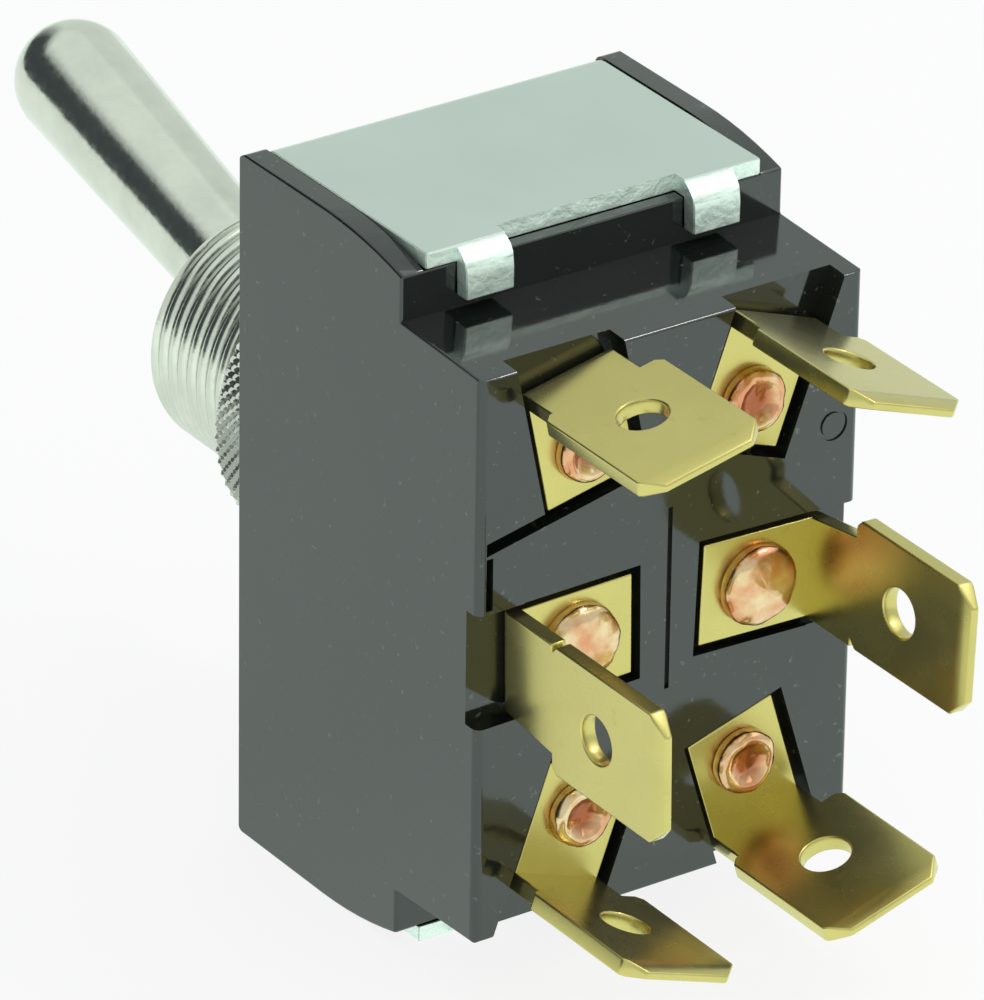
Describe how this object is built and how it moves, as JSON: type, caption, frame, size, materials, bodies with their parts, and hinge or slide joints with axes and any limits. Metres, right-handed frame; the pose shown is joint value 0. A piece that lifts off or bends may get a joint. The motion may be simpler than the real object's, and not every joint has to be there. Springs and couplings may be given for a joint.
{
  "type": "panel toggle switch",
  "caption": "Panel toggle switch with a bat lever, a threaded bushing with nuts, a black case in a steel frame, and brass blade terminals at the rear.",
  "frame": {"origin": "on the bushing's axis, at the front face of the steel frame, which seats behind the panel", "axes": "-Y along the bushing towards the user, +Y to the terminals, +Z along the long side, up as on an upright panel, X across the width"},
  "size_m": [0.0202, 0.0632, 0.0342],
  "materials": {
    "case_black": "glossy",
    "frame_steel": "zinc plated, smooth",
    "nickel": "nickel plated",
    "washer_steel": "plated",
    "lever_nickel": "nickel plated, polished",
    "pin_steel": "bright",
    "nylon": "natural nylon",
    "plunger_metal": "bright",
    "spring_wire": "bright",
    "copper_arm": "copper alloy",
    "silver": "silver",
    "cradle_brass": "plain",
    "rivet_copper": "copper, formed head",
    "terminal_brass": "plain brass"
  },
  "bodies": {
    "case": {"housing": "case_black", "frame_bracket": "frame_steel", "bushing": "nickel", "hex_nut": "nickel", "lock_washer": "washer_steel", "ring_nut": "nickel", "cradle_left": "cradle_brass", "fixed_contact_left_top": "silver", "fixed_contact_left_bottom": "silver", "rivet_left_top": "rivet_copper", "terminal_left_top": "terminal_brass", "rivet_left_middle": "rivet_copper", "terminal_left_middle": "terminal_brass", "rivet_left_bottom": "rivet_copper", "terminal_left_bottom": "terminal_brass", "cradle_right": "cradle_brass", "fixed_contact_right_top": "silver", "fixed_contact_right_bottom": "silver", "rivet_right_top": "rivet_copper", "terminal_right_top": "terminal_brass", "rivet_right_middle": "rivet_copper", "terminal_right_middle": "terminal_brass", "rivet_right_bottom": "rivet_copper", "terminal_right_bottom": "terminal_brass"},
    "lever_arm": {"lever": "lever_nickel", "lever_pin": "pin_steel", "actuator": "nylon", "spring_left": "spring_wire", "spring_right": "spring_wire"},
    "plunger_l": {"plunger_left": "plunger_metal"},
    "plunger_r": {"plunger_right": "plunger_metal"},
    "rocker_l": {"rocker_left": "copper_arm", "moving_contact_left_top": "silver", "moving_contact_left_bottom": "silver"},
    "rocker_r": {"rocker_right": "copper_arm", "moving_contact_right_top": "silver", "moving_contact_right_bottom": "silver"}
  },
  "joints": [
    {"name": "lever_tilt", "type": "hinge", "parent": "case", "child": "lever_arm", "pos_m": [0, -0.0078, 0], "axis": [1, 0, 0], "range_deg": [0, 32]},
    {"name": "rocker_tilt_left", "type": "hinge", "parent": "case", "child": "rocker_l", "pos_m": [0.00455, 0.014, 0], "axis": [1, 0, 0], "range_deg": [-16, 0]},
    {"name": "rocker_tilt_right", "type": "hinge", "parent": "case", "child": "rocker_r", "pos_m": [-0.00455, 0.014, 0], "axis": [1, 0, 0], "range_deg": [-16, 0]},
    {"name": "plunger_slide_left", "type": "slide", "parent": "lever_arm", "child": "plunger_l", "axis": [0, -0.9613, 0.2756], "range_m": [0, 0.001], "stiffness_N_per_m": 500, "springref_m": -0.001, "deforming": ["spring_left"]},
    {"name": "plunger_slide_right", "type": "slide", "parent": "lever_arm", "child": "plunger_r", "axis": [0, -0.9613, 0.2756], "range_m": [0, 0.001], "stiffness_N_per_m": 500, "springref_m": -0.001, "deforming": ["spring_right"]}
  ],
  "couplings": [
    {"joint": "rocker_tilt_left", "follows": "lever_tilt", "ratio": -0.5},
    {"joint": "rocker_tilt_right", "follows": "lever_tilt", "ratio": -0.5}
  ]
}
